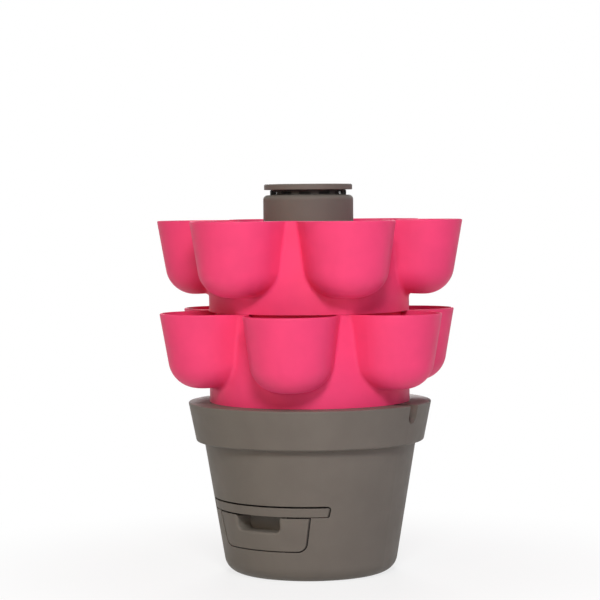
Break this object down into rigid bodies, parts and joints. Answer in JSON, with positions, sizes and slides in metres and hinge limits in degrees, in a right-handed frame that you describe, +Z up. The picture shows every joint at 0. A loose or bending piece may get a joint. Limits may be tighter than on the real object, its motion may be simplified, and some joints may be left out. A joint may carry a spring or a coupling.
{
  "type": "vertical planter tower",
  "caption": "Stacked flower tower: round grey pot with drawer and slide gate, pink scalloped pocket tiers that turn, and a lidded compost tube up the middle.",
  "frame": {"origin": "on the ground, on the tower's axis", "axes": "+Z up along the tower's axis, -Y towards the drawer front, +X to the right seen from the drawer"},
  "size_m": [0.6138, 0.614, 0.774],
  "materials": {
    "pot_grey": "fine satin, moulded",
    "inner_grey": "plain moulded",
    "tier_pink": "smooth satin, moulded",
    "screen_black": "woven screen",
    "screw_steel": "stainless"
  },
  "bodies": {
    "base": {"base_pot": "pot_grey", "drawer_bay": "inner_grey", "bay_screws": "screw_steel", "soil_deck": "inner_grey", "deck_screws": "screw_steel", "compost_tube_lower": "inner_grey", "tube_coupler": "inner_grey", "compost_tube_upper": "inner_grey", "tube_collar": "pot_grey", "collar_screws": "screw_steel", "vent_screen": "screen_black"},
    "gate": {"slide_gate": "inner_grey", "gate_front": "pot_grey", "gate_screws": "screw_steel"},
    "drawer": {"drawer_bin": "inner_grey", "drawer_front": "pot_grey", "drawer_screws": "screw_steel"},
    "lower_tier": {"lower_tier": "tier_pink"},
    "upper_tier": {"upper_tier": "tier_pink"},
    "lid": {"lid": "pot_grey"}
  },
  "joints": [
    {"name": "drawer_slide", "type": "slide", "parent": "base", "child": "drawer", "axis": [0, -1, 0], "range_m": [0, 0.25]},
    {"name": "gate_slide", "type": "slide", "parent": "base", "child": "gate", "axis": [0, -1, 0], "range_m": [0, 0.22]},
    {"name": "lower_tier_turn", "type": "hinge", "parent": "base", "child": "lower_tier", "pos_m": [0, 0, 0.3413], "axis": [0, 0, 1], "continuous": true},
    {"name": "upper_tier_turn", "type": "hinge", "parent": "lower_tier", "child": "upper_tier", "pos_m": [0, 0, 0.522], "axis": [0, 0, 1], "continuous": true},
    {"name": "lid_lift", "type": "slide", "parent": "base", "child": "lid", "axis": [0, 0, 1], "range_m": [0, 0.12]}
  ]
}
